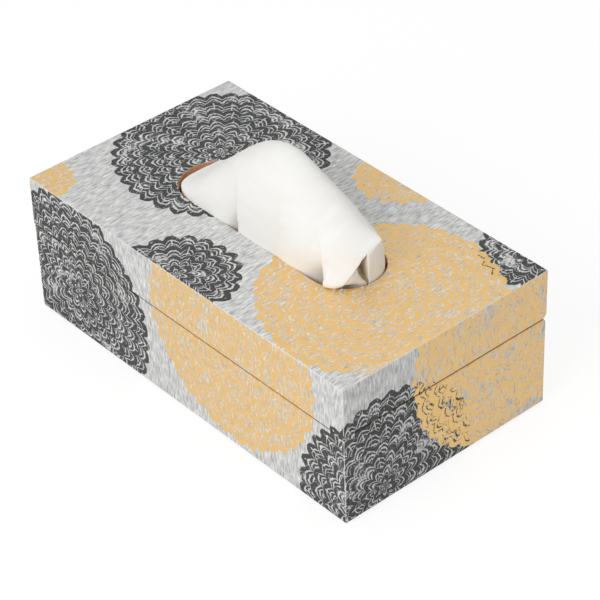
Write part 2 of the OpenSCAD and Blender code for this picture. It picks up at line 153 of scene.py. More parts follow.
class Shader:
    """A material or world under construction, with one method for any node."""

    # a Mix node's first input, second input and output, by the kind of what it blends
    MIX_PORTS = {"RGBA": (6, 7, 2), "VECTOR": (4, 5, 1)}

    def __init__(self, name: str, world: bool = False) -> None:
        """Makes an empty node tree.

        Args:
            name: The name of the material or world.
            world: Whether it is a world.
        """
        self.output = "ShaderNodeOutputWorld" if world else "ShaderNodeOutputMaterial"
        self.made = (bpy.data.worlds if world else bpy.data.materials).new(name)
        self.made.use_nodes = True
        self.tree = self.made.node_tree
        self.tree.nodes.clear()

    def node(self, kind: str, settings: dict | None = None, inputs: dict | None = None) -> bpy.types.Node:
        """Adds one node.

        Args:
            kind: The node's type, such as ShaderNodeMath.
            settings: Its properties, set first; stops holds a ramp's (place, colour) pairs.
            inputs: Numbers, Values or sockets by the input's name or number.

        Returns:
            The node.
        """
        made = self.tree.nodes.new(kind)
        for name, setting in (settings or {}).items():
            if name == "stops":
                self.set_stops(made.color_ramp, setting)
            else:
                setattr(made, name, setting)
        for key, given in (inputs or {}).items():
            socket = made.inputs[key]
            source = given.socket if isinstance(given, Value) else given
            if isinstance(source, Socket):
                self.tree.links.new(source, socket)
            else:
                socket.default_value = source
        return made

    @staticmethod
    def set_stops(ramp: bpy.types.ColorRamp, stops: list[tuple[float, tuple]]) -> None:
        """Gives a ramp its stops.

        Args:
            ramp: A new ramp.
            stops: A place from 0 to 1 and a linear colour for each stop.
        """
        while len(ramp.elements) < len(stops):
            ramp.elements.new(0.5)
        for element, (place, colour) in zip(ramp.elements, stops):
            element.position = place
            element.color = colour

    def math(self, operation: str, *operands: Number) -> Value:
        """Adds a Math node on up to three operands."""
        made = self.node("ShaderNodeMath", {"operation": operation}, dict(enumerate(operands)))
        return Value(self, made.outputs[0])

    def vector(self, operation: str, *operands: object) -> Socket:
        """Adds a Vector Math node that gives a vector."""
        made = self.node("ShaderNodeVectorMath", {"operation": operation}, dict(enumerate(operands)))
        return made.outputs[0]

    def length(self, vector: Socket) -> Value:
        """A vector's length."""
        made = self.node("ShaderNodeVectorMath", {"operation": "LENGTH"}, {0: vector})
        return Value(self, made.outputs["Value"])

    def parts(self, vector: Socket) -> tuple[Value, Value, Value]:
        """A vector's three parts."""
        made = self.node("ShaderNodeSeparateXYZ", inputs={0: vector})
        return tuple(Value(self, made.outputs[i]) for i in range(3))

    def mix(self, factor: Number, first: object, second: object, kind: str = "RGBA") -> Socket:
        """Blends two colours, or two vectors: a factor of 0 gives the first."""
        one, two, out = self.MIX_PORTS[kind]
        return self.node("ShaderNodeMix", {"data_type": kind},
                         {0: factor, one: first, two: second}).outputs[out]

    def between(self, factor: Number, first: Colour, second: Colour) -> Socket:
        """Blends two screen colours."""
        return self.mix(factor, linear(first), linear(second))

    def step(self, value: Value, low: Number, high: Number) -> Value:
        """A smooth rise from 0 at low to 1 at high."""
        made = self.node("ShaderNodeMapRange", {"interpolation_type": "SMOOTHSTEP"},
                         {0: value, 1: low, 2: high, 3: 0.0, 4: 1.0})
        return Value(self, made.outputs[0])

    def noise(self, place: Socket, scale: float, detail: float = 2.0, rough: float = 0.5,
              stretch: Triple = (1, 1, 1)) -> Value:
        """Fractal noise from 0 to 1 at a place, whose axes are first multiplied by stretch."""
        inputs = {"Vector": self.vector("MULTIPLY", place, stretch),
                  "Scale": scale, "Detail": detail, "Roughness": rough}
        return Value(self, self.node("ShaderNodeTexNoise", {"noise_dimensions": "3D"}, inputs).outputs[0])

    def object_place(self) -> Socket:
        """The point in the object's own coordinates."""
        return self.node("ShaderNodeTexCoord").outputs["Object"]

    def map_place(self, name: str) -> Socket:
        """The point on a piece's own map."""
        return self.node("ShaderNodeUVMap", {"uv_map": name}).outputs[0]

    def mark(self, name: str) -> Value:
        """A number that is written on the piece's points."""
        return Value(self, self.node("ShaderNodeAttribute", {"attribute_name": name}).outputs["Fac"])

    def rays(self, *kinds: str) -> list[Value]:
        """For each kind of ray, 1 where it is that kind."""
        path = self.node("ShaderNodeLightPath")
        return [Value(self, path.outputs[f"Is {kind} Ray"]) for kind in kinds]

    def close(self, surface: bpy.types.Node) -> "Material | bpy.types.World":
        """Joins the last shader node to the output and gives what was made."""
        self.node(self.output, inputs={0: surface.outputs[0]})
        return self.made

    def finish(self, colour: object, roughness: Number, bump: Value, bump_depth: float,
               **sockets: object) -> Material:
        """Closes the material with a Principled shader.

        Args:
            colour: Base colour, a socket or a linear colour.
            roughness: A number or a Value.
            bump: Height field for a Bump node, from 0 to 1.
            bump_depth: What a height of 1 stands for, in metres.
            **sockets: Other Principled sockets, their names with _ for a space.

        Returns:
            The finished material.
        """
        relief = self.node("ShaderNodeBump", inputs={"Height": bump, "Distance": bump_depth, "Strength": 1.0})
        inputs = {"Base Color": colour, "Roughness": roughness, "Normal": relief.outputs[0]}
        inputs.update({name.replace("_", " "): given for name, given in sockets.items()})
        return self.close(self.node("ShaderNodeBsdfPrincipled", inputs=inputs))


# ---------------------------------------------------------------- finishes


@dataclass(frozen=True)
class Rosette:
    """One printed rosette: its centre on the sheet and how many rings of petals it has."""

    u: float
    v: float
    rings: int


@dataclass(frozen=True)
class Ink:
    """How one ink is cut and printed: rings of overlapping petals with engraved lines."""

    rosettes: tuple[Rosette, ...]
    pitch: float                # width of one ring of petals
    petals: int                 # petals in the first ring
    arch: float                 # how far a petal's sides fall back from its tip, in rings
    line_share: float           # how much of the pitch a line leaves bare
    breaks: float               # how unevenly the lines widen and close
    rim: float                  # solid tip of a petal, in rings
    wear: float                 # bare patches, from 0 to 1
    seed: float
    more_petals: float = 5.0    # how many each further ring adds
    lines: float = 3.0          # engraved lines in one ring
    wander: float = 0.9         # how far the rings wander, in rings
    shake: float = 0.28         # how far the cut shakes, in rings
    swing: float = 0.03         # how far the petals wander round the centre, in turns
    speckle: float = 0.22       # how much the grain widens and closes the lines
    soft: float = 0.1           # over what a line's edge fades
    vein: Pair = (0.02, 0.05)   # half width of a petal's bare vein, where it begins to fade and ends
    filled: Pair = (0.44, 0.5)  # from which worn noise the vein is inked over
    gap: Pair = (0.985, 0.955)  # bare line round a petal, from its outer edge in
    bare: Pair = (0.62, 0.70)   # from which worn noise the paper is bare, before the wear
    bare_share: float = 0.85    # how much of the ink a bare patch lacks

    def nearest(self, s: Shader, place: Socket) -> tuple[Socket, Value]:
        """Finds the rosette whose rim is nearest, by distance over radius.

        Args:
            s: The material being made.
            place: The point on the sheet.

        Returns:
            The offset from that rosette's centre, and its number of rings.
        """
        offset, rings, share = None, None, None
        for rosette in self.rosettes:
            away = s.vector("SUBTRACT", place, (rosette.u, rosette.v, 0.0))
            this = s.length(away) / (rosette.rings * self.pitch)
            if share is None:
                offset, rings, share = away, this * 0.0 + float(rosette.rings), this
                continue
            nearer = this < share
            offset = s.mix(nearer, offset, away, "VECTOR")
            rings = rings + nearer * (rosette.rings - rings)
            share = share.least(this)
        return offset, rings

    def petal(self, ring: Value, past: Value, turn: Value) -> tuple[Value, Value]:
        """Where a point lies in a petal of one ring, whose sides fall back by a square.

        Args:
            ring: The ring's number.
            past: How far out the point is from the ring's foot, in rings.
            turn: The point's direction, in turns.

        Returns:
            The place across the petal from -0.5 to 0.5, and along it with 1 at its edge.
        """
        count = (ring * self.more_petals + float(self.petals)).floor()
        across = (turn * count + ring * 0.5).fract() - 0.5
        return across, past + across * across * (4 * self.arch)

    def lay(self, s: Shader, place: Socket) -> Value:
        """How much ink lies on the sheet.

        A point belongs to its own ring's petal, or beyond that petal's edge to the next
        ring's. Engraved lines follow the petal's edge, and worn noise widens or closes them.

        Args:
            s: The material being made.
            place: The point on the sheet.

        Returns:
            1 where the ink lies and 0 where the paper is bare.
        """
        seeded = s.vector("ADD", place, (0.0, 0.0, self.seed))
        offset, rings = self.nearest(s, place)
        x, y, _ = s.parts(offset)
        wobble = s.noise(seeded, 45) - 0.5
        tremble = s.noise(seeded, 420) - 0.5
        radius = s.length(offset) / self.pitch + wobble * self.wander + tremble * self.shake
        turn = s.math("ARCTAN2", y, x) / (2 * math.pi) + 0.5 + wobble * self.swing
        ring = radius.floor()
        past = radius - ring
        across_in, along_in = self.petal(ring, past, turn)
        across_out, along_out = self.petal(ring + 1.0, past - 1.0, turn)
        inside = along_in < 1.0
        across = across_out + inside * (across_in - across_out)
        along = along_out + inside * (along_in - along_out)
        owner = ring + 1.0 - inside
        worn = s.noise(seeded, 70, 4, 0.65)
        grain = s.noise(seeded, 1500, 2, 0.6, stretch=(1, 0.35, 1)) - 0.5
        cut = ((along * self.lines).fract() - 0.5).size() * 2.0
        width = self.line_share + (worn - 0.5) * self.breaks + grain * self.speckle
        solid = s.step(cut, width - self.soft, width + self.soft)
        vein = s.step(across.size(), *self.vein).most(s.step(worn, *self.filled))
        rim = s.step(along, 1.0 - self.rim, 1.03 - self.rim)
        inked = (solid * vein).most(rim) * s.step(along, *self.gap)
        bare = s.step(worn + grain * 0.7, *(edge - self.wear * 0.12 for edge in self.bare))
        disc = s.step(rings - 0.5 - owner, -self.soft, self.soft)
        return inked * disc * (1.0 - bare * self.bare_share)


CHARCOAL = Ink(
    rosettes=(Rosette(-0.071, 0.020, 7), Rosette(-0.002, -0.068, 4), Rosette(0.112, 0.080, 4),
              Rosette(-0.088, STRIP_V + 0.030, 7), Rosette(0.150, STRIP_V + 0.010, 7),
              Rosette(0.326, STRIP_V + 0.024, 5), Rosette(0.500, STRIP_V + 0.020, 6),
              Rosette(-0.200, STRIP_V + 0.016, 5)),
    pitch=0.0086, petals=6, arch=0.42, line_share=0.33, breaks=1.3, rim=0.28, wear=0.2, seed=3.1)

OCHRE = Ink(
    rosettes=(Rosette(0.083, -0.006, 7), Rosette(0.012, 0.076, 3), Rosette(-0.124, -0.074, 3),
              Rosette(0.040, STRIP_V + 0.068, 7), Rosette(0.234, STRIP_V + 0.060, 7),
              Rosette(0.416, STRIP_V + 0.052, 6), Rosette(-0.262, STRIP_V + 0.070, 5),
              Rosette(-0.150, STRIP_V + 0.090, 3)),
    pitch=0.0092, petals=7, arch=0.36, line_share=0.27, breaks=1.0, rim=0.36, wear=0.22, seed=8.7)


@dataclass(frozen=True)
class PrintedPaper:
    """Heather grey paper, block-printed in two inks, paler along its folds, with painted shade along the seam."""

    ground: Colour = (203, 203, 202)
    fleck_dark: Colour = (162, 164, 166)
    fleck_light: Colour = (232, 232, 230)
    charcoal: Colour = (50, 52, 52)
    ochre: Colour = (237, 200, 132)
    ochre_deep: Colour = (228, 188, 119)
    fold: Colour = (222, 222, 220)
    seam: Colour = (0.62, 0.46, 0.32)   # what the painted shade along the seam lets through
    streaks: float = 0.7                # share of the streaks in the grey, beside the mottle
    fleck_at: float = 0.14              # how far from the middle tone the flecks are full
    charcoal_covers: float = 0.97       # how much of the paper the inks hide
    ochre_covers: float = 0.96
    rub: float = 0.75                   # how far a rubbed fold loses its print
    rough: float = 0.78
    charcoal_gloss: float = 0.12        # how much smoother the inks are than the paper
    ochre_gloss: float = 0.26
    gilt: float = 0.72                  # how metallic the ochre ink is
    ink_high: float = 0.12              # height of the ink, as a share of the relief
    relief: float = 0.12 * MM

    def heather(self, s: Shader, place: Socket) -> tuple[Socket, Value]:
        """Short fibres along v over a mottled grey.

        Args:
            s: The material being made.
            place: The point on the sheet.

        Returns:
            The colour and the fibres' height.
        """
        streak = s.noise(place, 1000, 3, 0.6, stretch=(1, 0.17, 1))
        mottle = s.noise(place, 300, 3, 0.55, stretch=(1, 0.5, 1))
        tone = streak * self.streaks + mottle * (1 - self.streaks)
        ramp = s.node("ShaderNodeValToRGB", {"stops": [
            (0.5 - self.fleck_at, linear(self.fleck_dark)), (0.5, linear(self.ground)),
            (0.5 + self.fleck_at, linear(self.fleck_light))]}, {0: tone})
        return ramp.outputs[0], tone

    def make(self) -> Material:
        """Builds the print over the paper, then its rubbed folds and the painted shade along the seam.

        Returns:
            The material.
        """
        s = Shader("printed_paper")
        place = s.map_place(SHEET_MAP)
        paper, fibres = self.heather(s, place)
        charcoal = CHARCOAL.lay(s, place)
        ochre = OCHRE.lay(s, place)
        gold = s.between(s.noise(place, 160), self.ochre_deep, self.ochre)
        colour = s.mix(charcoal * self.charcoal_covers, paper, linear(self.charcoal))
        colour = s.mix(ochre * self.ochre_covers, colour, gold)
        folded = s.mark(FOLD_AND_SEAM_SHADE_MARK)
        rubbed = s.step(folded + (s.noise(place, 240, 4, 0.65) - 0.5) * 1.1, 0.5, 0.95)
        colour = s.mix(rubbed * self.rub, colour, linear(self.fold))
        # painted shade in the seam's groove: where the fold mark is below 0 the colour is darkened
        painted_seam_shade = s.step(s.noise(place, 180, 3, 0.6) * 0.6 - folded, 0.5, 1.1)
        colour = s.mix(painted_seam_shade, colour, s.vector("MULTIPLY", colour, self.seam))
        rough = self.rough - charcoal * self.charcoal_gloss - ochre * self.ochre_gloss
        height = fibres * 0.7 + (charcoal + ochre) * self.ink_high
        return s.finish(colour, rough, height, self.relief, Metallic=ochre * self.gilt,
                        Specular_IOR_Level=0.35)


@dataclass(frozen=True)
class Fibreboard:
    """Sawn board of pressed fibres."""

    name: str
    pale: Colour
    dark: Colour
    clouds: float = 0.3             # share of slow clouds in the tone, beside the fibres
    rough: float = 0.82
    relief: float = 0.08 * MM

    def colour(self, s: Shader, place: Socket, fibre: Value, tone: Value) -> Socket:
        """The sawn board's brown."""
        return s.between(tone, self.dark, self.pale)

    def make(self) -> Material:
        """Builds fine fibres over a mottled brown.

        Returns:
            The material.
        """
        s = Shader(self.name)
        place = s.object_place()
        fibre = s.noise(place, 1400, 4, 0.7)
        cloud = s.noise(place, 60, 3)
        tone = s.step(fibre * (1 - self.clouds) + cloud * self.clouds, 0.38, 0.62)
        colour = self.colour(s, place, fibre, tone)
        return s.finish(colour, self.rough - tone * 0.1, fibre, self.relief, Specular_IOR_Level=0.3)


@dataclass(frozen=True)
class StainedSlotBoard(Fibreboard):
    """The same board with a stained slot edge: the stain has crept a little into its faces."""

    stain: Colour = (246, 182, 132)
    stain_deep: Colour = (216, 148, 102)
    creep: float = 1.1 * MM         # how far the stain has crept
    ragged: float = 1.2 * MM        # how unevenly, from fibre to fibre
    fade: float = 0.6 * MM

    def colour(self, s: Shader, place: Socket, fibre: Value, tone: Value) -> Socket:
        """The board's brown, and the stain by the distance from the slot's round-ended outline.

        Args:
            s: The material being made.
            place: The point in the board's coordinates.
            fibre: The fibres' height.
            tone: The board's tone.

        Returns:
            The colour.
        """
        x, y, _ = s.parts(place)
        long, short = SLOT_HALF
        past = (x.size() - (long - short)).most(0.0)
        outside = s.math("SQRT", past * past + y * y) - short
        stained = s.step(self.creep - outside + (fibre - 0.5) * self.ragged, 0.0, self.fade)
        bare = s.between(tone, self.dark, self.pale)
        return s.mix(stained, bare, s.between(tone, self.stain_deep, self.stain))


@dataclass(frozen=True)
class Metal:
    """Plated metal with fine brushing and a few dull spots."""

    name: str
    bright: Colour
    dull: Colour
    rough: float
    relief: float = 0.01 * MM

    def make(self) -> Material:
        """Builds brushing along X and dull spots.

        Returns:
            The material.
        """
        s = Shader(self.name)
        place = s.object_place()
        brush = s.noise(place, 2600, 2, 0.6, stretch=(0.06, 1, 1))
        spots = s.step(s.noise(place, 420, 3), 0.52, 0.7)
        colour = s.between(spots * 0.6, self.bright, self.dull)
        rough = self.rough + spots * 0.15 + (brush - 0.5) * 0.12
        return s.finish(colour, rough, brush, self.relief, Metallic=1.0)


@dataclass(frozen=True)
class Felt:
    """Pressed dark felt."""

    dark: Colour = (40, 41, 43)
    light: Colour = (78, 79, 82)
    relief: float = 0.3 * MM

    def make(self) -> Material:
        """Builds tangled fibres.

        Returns:
            The material.
        """
        s = Shader("pressed_felt")
        tangle = s.noise(s.object_place(), 900, 5, 0.75)
        colour = s.between(s.step(tangle, 0.35, 0.7), self.dark, self.light)
        return s.finish(colour, 0.95, tangle, self.relief, Sheen_Weight=0.3)


@dataclass(frozen=True)
class TissuePaper:
    """Soft white tissue: creped across, faintly blotchy, light passing through it, with painted shade in its
    recesses and under its folds.
    """

    white: Colour = (247, 246, 242)
    shade: Colour = (244, 242, 237)
    # painted shade of the tissue's recesses, pockets and lap edges
    painted_shade_colour: Colour = (170, 150, 122)
    crepe: float = 2200.0           # ridges in a metre
    ridge_share: float = 0.6        # share of the ridges in the relief, beside the clouds
    relief: float = 0.12 * MM
    glow: float = 0.12              # share of light that passes into the plies
    glow_deep: Triple = (4 * MM, 3.6 * MM, 3 * MM)

    def make(self) -> Material:
        """Builds the crepe's fine ridges, the fibres' cloudiness and the painted shade in the recesses and under
        the folds.

        Returns:
            The material.
        """
        s = Shader("tissue_paper")
        place = s.map_place(CLOTH_MAP)
        cloud = s.noise(place, 90, 4, 0.6)
        ridges = s.noise(place, self.crepe, 3, 0.6, stretch=(0.25, 1, 1))
        colour = s.between(s.step(cloud, 0.35, 0.65), self.shade, self.white)
        # painted shade of the recesses and folds
        colour = s.mix(s.mark(PAINTED_SHADE_MARK), colour, linear(self.painted_shade_colour))
        height = ridges * self.ridge_share + cloud * (1 - self.ridge_share)
        return s.finish(colour, 0.95, height, self.relief, Subsurface_Weight=self.glow,
                        Subsurface_Radius=self.glow_deep, Subsurface_Scale=1.0, Specular_IOR_Level=0.15)


# ---------------------------------------------------------------- mesh tools


def grid_faces(rows: int, columns: int, round_rows: bool = False) -> Array:
    """Quads of a grid of points numbered row by row, whose last column joins the first.

    Args:
        rows: Points down the grid.
        columns: Points across it.
        round_rows: Whether the last row joins the first too.

    Returns:
        One row of four point numbers for each quad.
    """
    r = np.arange(rows if round_rows else rows - 1)[:, None]
    c = np.arange(columns)[None, :]
    r2, c2 = (r + 1) % rows, (c + 1) % columns
    corners = [r * columns + c, r * columns + c2, r2 * columns + c2, r2 * columns + c]
    return np.stack(corners, -1).reshape(-1, 4)


def make_piece(name: str, points: Array, faces: Array, smooth: bool = True) -> Object:
    """Puts points and faces into a new object at the origin.

    Args:
        name: The piece's name.
        points: Points, with a last axis of three.
        faces: One row of point numbers for each face.
        smooth: Whether the faces are shaded as one curved surface.

    Returns:
        The piece, in the scene.
    """
    mesh = bpy.data.meshes.new(name)
    mesh.from_pydata(points.reshape(-1, 3).tolist(), [], faces.tolist())
    mesh.polygons.foreach_set("use_smooth", np.full(len(mesh.polygons), smooth))
    mesh.update()
    piece = bpy.data.objects.new(name, mesh)
    bpy.context.scene.collection.objects.link(piece)
    return piece


def corner_numbers(mesh: bpy.types.Mesh) -> Array:
    """Reads the number of the point at each face corner.

    Args:
        mesh: The mesh.

    Returns:
        One number for each corner.
    """
    numbers = np.zeros(len(mesh.loops), np.int32)
    mesh.loops.foreach_get("vertex_index", numbers)
    return numbers


def put_map(piece: Object, name: str, corners: Array) -> None:
    """Writes a map, one pair of numbers for each face corner."""
    layer = piece.data.uv_layers.new(name=name)
    layer.data.foreach_set("uv", corners.reshape(-1).astype(np.float32))


def put_mark(piece: Object, name: str, values: Array) -> None:
    """Writes a mark, one number for each point."""
    mark = piece.data.attributes.new(name, "FLOAT", "POINT")
    mark.data.foreach_set("value", values.reshape(-1).astype(np.float32))


def dress(piece: Object, material: Material, body: Body, slot: Slot, *nodes: str) -> None:
    """Gives a piece its finish and its place in the model.

    Args:
        piece: The piece.
        material: Its material.
        body: The body that it rides on.
        slot: The record's slot that the material belongs to; not used.
        *nodes: The nodes that it stands for.
    """
    piece.data.materials.append(material)
    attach(piece, body.value)
    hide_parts(*nodes)
    LOG.info("%s: %d faces on %s", piece.name, len(piece.data.polygons), body.value)


def smooth_rise(x: Array) -> Array:
    """0 below 0, 1 above 1 and three squares less two cubes between."""
    t = np.clip(x, 0, 1)
    return t * t * (3 - 2 * t)


def hump(x: Array, middle: float, wide: float) -> Array:
    """A bell: 1 at the middle, and e to the power of -1 at a distance of wide."""
    return np.exp(-((x - middle) / wide) ** 2)


def at_height(plan: Array, z: "float | Array") -> Array:
    """Lifts plan points to one height, or each to its own."""
    return np.column_stack([plan, np.broadcast_to(z, len(plan))])


# ---------------------------------------------------------------- covers


@dataclass
class Shell:
    """Sizes of the shut box that both covers and the pulled tissue are placed by."""

    top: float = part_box("lid_cover")[1].z
    lid_rim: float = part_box("lid_cover")[0].z
    base_rim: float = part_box("base_front_wall")[1].z
    base_foot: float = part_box("base_cover")[0].z
    board_foot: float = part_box("base_front_wall")[0].z
    ceiling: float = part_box("lid_top_board")[0].z
    lid_half: Pair = tuple(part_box("lid_cover")[1][:2])
    base_half: Pair = tuple(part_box("base_cover")[1][:2])
    lid_boards: Pair = (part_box("lid_front_rim")[1].x, -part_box("lid_front_rim")[0].y)
    base_boards: Pair = (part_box("base_front_wall")[1].x, -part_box("base_front_wall")[0].y)
    pin: Pair = tuple(frame["joints"][0]["pos_m"][1:])      # the hinge's y and z
    bevel: float = math.radians(48.5)                       # slope of the bevels that stop the lid
    edge_r: float = 0.8 * MM                                # round of the folded edges
    rim_r: float = 0.45 * MM                                # round of the seam's edges
    turn_in: float = 14 * MM                                # paper turned in under the base


@dataclass
class Ring:
    """One closed ring of a cover's section."""

    points: Array
    edge: float = 0.0           # how near it is to a folded edge, or below 0 how much painted shade it takes at the seam
    on_top: bool = False        # whether the band after it takes the top sheet


@dataclass
class PrintedCover:
    """What the lid's and the base's covers share: the plan, the sheet and the folds."""

    shell: Shell
    paper: Material
    side_n: int = 110           # points along a long side
    end_n: int = 120            # points along an end
    corner_n: int = 7           # points round a corner

    def lay_out(self, half: Pair, boards: Pair) -> None:
        """Sets the cover's plans, run from the back left corner along the left end.

        The outer plan is a rectangle with quarter circles at its corners. Near is a
        squared half sine over each corner and 0 on the sides. The inner plan is the outer
        one, drawn in to the boards.

        Args:
            half: Half the length and half the width.
            boards: The same of the boards inside.
        """
        self.half = np.array(half)
        r = self.shell.edge_r
        centres = np.array([[-1, 1], [-1, -1], [1, -1], [1, 1]]) * (self.half - r)
        a = np.radians([[90], [180], [270], [0]]) + np.linspace(0, math.pi / 2, self.corner_n)
        arcs = centres[:, None] + r * np.stack([np.cos(a), np.sin(a)], -1)
        worn = np.sin(np.linspace(0, math.pi, self.corner_n)) ** 2
        points, near = [], []
        for i, count in enumerate([self.end_n, self.side_n] * 2):
            start, end = arcs[i][-1], arcs[(i + 1) % 4][0]
            share = np.linspace(0, 1, count + 2)[1:-1, None]
            points += [arcs[i], start + (end - start) * share]
            near += [worn, np.zeros(count)]
        self.outer = np.concatenate(points)
        self.near = np.concatenate(near)
        self.inner = self.outer * (np.array(boards) / self.half)

    def drawn_in(self, by: float) -> Array:
        """The outer plan, drawn in on all sides by a distance."""
        return self.outer * ((self.half - by) / self.half)

    def ring(self, by: float, z: "float | Array", edge: float = 0.0, on_top: bool = False) -> Ring:
        """A ring on the outer plan drawn in by a distance."""
        return Ring(at_height(self.drawn_in(by), z), edge, on_top)

    def seam_edge(self, z: Array, up: int, least_shade: float) -> list[Ring]:
        """The quarter circle by which a side turns into the seam.

        Args:
            z: Height of the face inside the seam, at each point of the plan.
            up: 1 for the side above the seam, -1 for the one below it.
            least_shade: Least painted shade on it.

        Returns:
            Its rings, from the side inwards.
        """
        r = self.shell.rim_r
        # a negative edge marks painted shade on the seam's rounded edge
        return [self.ring(r * (1 - math.cos(a)), z + up * (r * (1 - math.sin(a))), -max(least_shade, math.sin(a)))
                for a in np.radians([0, 30, 60, 90])]

    def round_length(self, plan: Array) -> Array:
        """Distance round a plan at each point, and at the first one again at the end.

        The left end runs from -(half length + width), the front through 0 at its middle.

        Args:
            plan: The points.

        Returns:
            One distance for each point, and one more.
        """
        steps = np.linalg.norm(np.roll(plan, -1, 0) - plan, axis=1)
        travelled = np.concatenate([[0], np.cumsum(steps)])
        front = np.argmin(np.abs(plan[:, 0]) + 10 * (plan[:, 1] > 0))
        return travelled - travelled[front] + plan[front, 0]

    def build(self, name: str, rings: list[Ring]) -> Object:
        """Joins closed rings of points into one closed skin with its sheet map.

        The skin is a grid: one parameter runs round the box, the other round the section.
        On a top band the map is the plan. On a side band it is the distance round, and the
        height from the strip's place.

        Args:
            name: The piece's name.
            rings: The section's rings in order.

        Returns:
            The piece.
        """
        points = np.stack([ring.points for ring in rings])
        on_top = np.array([ring.on_top for ring in rings])
        edge = np.array([ring.edge for ring in rings])[:, None]
        rows, columns = points.shape[:2]
        faces = grid_faces(rows, columns, round_rows=True)
        piece = make_piece(name, points, faces[:, ::-1])
        column = np.tile(np.arange(columns), rows)
        travelled = self.round_length(self.outer if on_top[0] else points[0, :, :2])
        low, high = travelled[column], travelled[column + 1]
        places = points.reshape(-1, 3)[faces]
        strip = np.stack([np.stack([low, high, high, low], 1), places[..., 2] + STRIP_V], -1)
        sheet = np.where(on_top.repeat(columns)[:, None, None], places[..., :2], strip)
        put_map(piece, SHEET_MAP, sheet[:, ::-1])
        corner = self.near[None, :] * (1.0 - on_top[:, None])
        put_mark(piece, FOLD_AND_SEAM_SHADE_MARK, np.where(edge < 0, edge, np.maximum(corner, edge)))
        return piece

    def stop(self, y: Array) -> Array:
        """Height by which the stop bevel clears the seam's middle at depth y."""
        return np.maximum(0, y - self.shell.pin[0]) * math.tan(self.shell.bevel)


@dataclass
class LidCover(PrintedCover):
    """The cover over the lid's top and down its four sides, with the slot cut through."""

    slot_wear: float = 0.35     # how worn the slot's edge is, as a share of a folded edge
    least_seam_shade: float = 0.2      # least painted shade on the seam's edge

    def slot_points(self) -> Array:
        """Where a ray from the middle to each point of the plan crosses the slot's edge.

        The slot's outline is two straight sides and two half circles: the ray meets a side
        where it is half a width out, or else a half circle, by the quadratic's larger root.

        Returns:
            One point for each point of the plan.
        """
        long, short = SLOT_HALF
        straight = long - short
        d = self.outer / np.linalg.norm(self.outer, axis=1)[:, None]
        on_side = short / np.maximum(np.abs(d[:, 1]), 1e-9)
        along = np.abs(d[:, 0]) * straight
        on_end = along + np.sqrt(np.maximum(along ** 2 - straight ** 2 + short ** 2, 0))
        use_side = np.abs(d[:, 0]) * on_side <= straight
        return d * np.where(use_side, on_side, on_end)[:, None]

    def make(self) -> None:
        """Builds the skin from the slot's upper edge round the section and back to it."""
        s = self.shell
        self.lay_out(s.lid_half, s.lid_boards)
        slot = self.slot_points()
        board_top = s.ceiling + BOARD
        foot, inner_foot = (np.maximum(s.lid_rim, s.pin[1] + self.stop(plan[:, 1]))
                            for plan in (self.outer, self.inner))
        top_edge = self.drawn_in(s.edge_r)
        rings = [Ring(at_height(slot + (top_edge - slot) * share, s.top), wear, True)
                 for share, wear in ((0.0, self.slot_wear), (0.004, self.slot_wear), (0.25, 0.0),
                                     (0.5, 0.0), (0.75, 0.0), (0.97, 0.0))]
        for degrees in (0, 22.5, 45, 67.5, 90):
            a = math.radians(degrees)
            rings.append(self.ring(s.edge_r * (1 - math.sin(a)), s.top - s.edge_r * (1 - math.cos(a)),
                                   math.sin(2 * a) ** 2, degrees < 40))
        side_top = s.top - s.edge_r
        for share in (0.05, 0.3, 0.6, 0.95):
            rings.append(self.ring(0, side_top + (foot + s.rim_r - side_top) * share))
        rings += self.seam_edge(foot, 1, self.least_seam_shade)
        rings += [Ring(at_height(self.inner, inner_foot)), Ring(at_height(self.inner, board_top)),
                  Ring(at_height(slot + (self.inner - slot) * 0.02, board_top)),
                  Ring(at_height(slot, board_top))]
        piece = self.build("lid_paper", rings)
        dress(piece, self.paper, Body.LID, Slot.COVER, "lid_cover")


@dataclass
class BaseCover(PrintedCover):
    """The cover round the base's four sides, turned in under the boards."""

    least_seam_shade: float = 0.35     # least painted shade on the seam's edge
    foot_wear: float = 0.8      # how worn the foot is, as a share of a folded edge

    def make(self) -> None:
        """Builds the skin from the rim down, round the foot, under the boards and back."""
        s = self.shell
        self.lay_out(s.base_half, s.base_boards)
        rim, inner_rim = (np.minimum(s.base_rim, s.pin[1] - self.stop(plan[:, 1]))
                          for plan in (self.outer, self.inner))
        foot = s.base_foot + s.edge_r
        rings = self.seam_edge(rim, -1, self.least_seam_shade)[::-1]
        for share in (0.05, 0.4, 0.8, 0.97):
            rings.append(self.ring(0, rim - s.rim_r + (foot - rim + s.rim_r) * share))
        for a in np.radians([0, 22.5, 45, 67.5, 90]):
            rings.append(self.ring(s.edge_r * (1 - math.cos(a)), foot - s.edge_r * math.sin(a),
                                   self.foot_wear * math.sin(2 * a)))
        rings += [self.ring(s.turn_in, s.base_foot), self.ring(s.turn_in, s.board_foot),
                  Ring(at_height(self.inner, s.board_foot)), Ring(at_height(self.inner, inner_rim))]
        piece = self.build("base_paper", rings)
        dress(piece, self.paper, Body.BASE, Slot.COVER, "base_cover")


# ---------------------------------------------------------------- tissues


@dataclass(frozen=True)
class Fold:
    """A soft groove in the pulled tissue: where it runs, how wide, deep and high it is."""

    turn: float             # direction in degrees, 270 being the front
    wide: float             # half width in degrees
    deep: float             # depth in metres
    high: float             # height over which it fades, in metres


@dataclass(frozen=True)
class Lap:
    """An upright edge on the front, where one panel of the tissue laps over its left one."""

    x: float                # where the edge stands at the slot
    wide: float             # how far to its left the lower panel turns in
    deep: float             # how far in it lies at the edge
    high: float             # height over which it fades
    lean: float             # how far the edge leans left, for each square metre of height


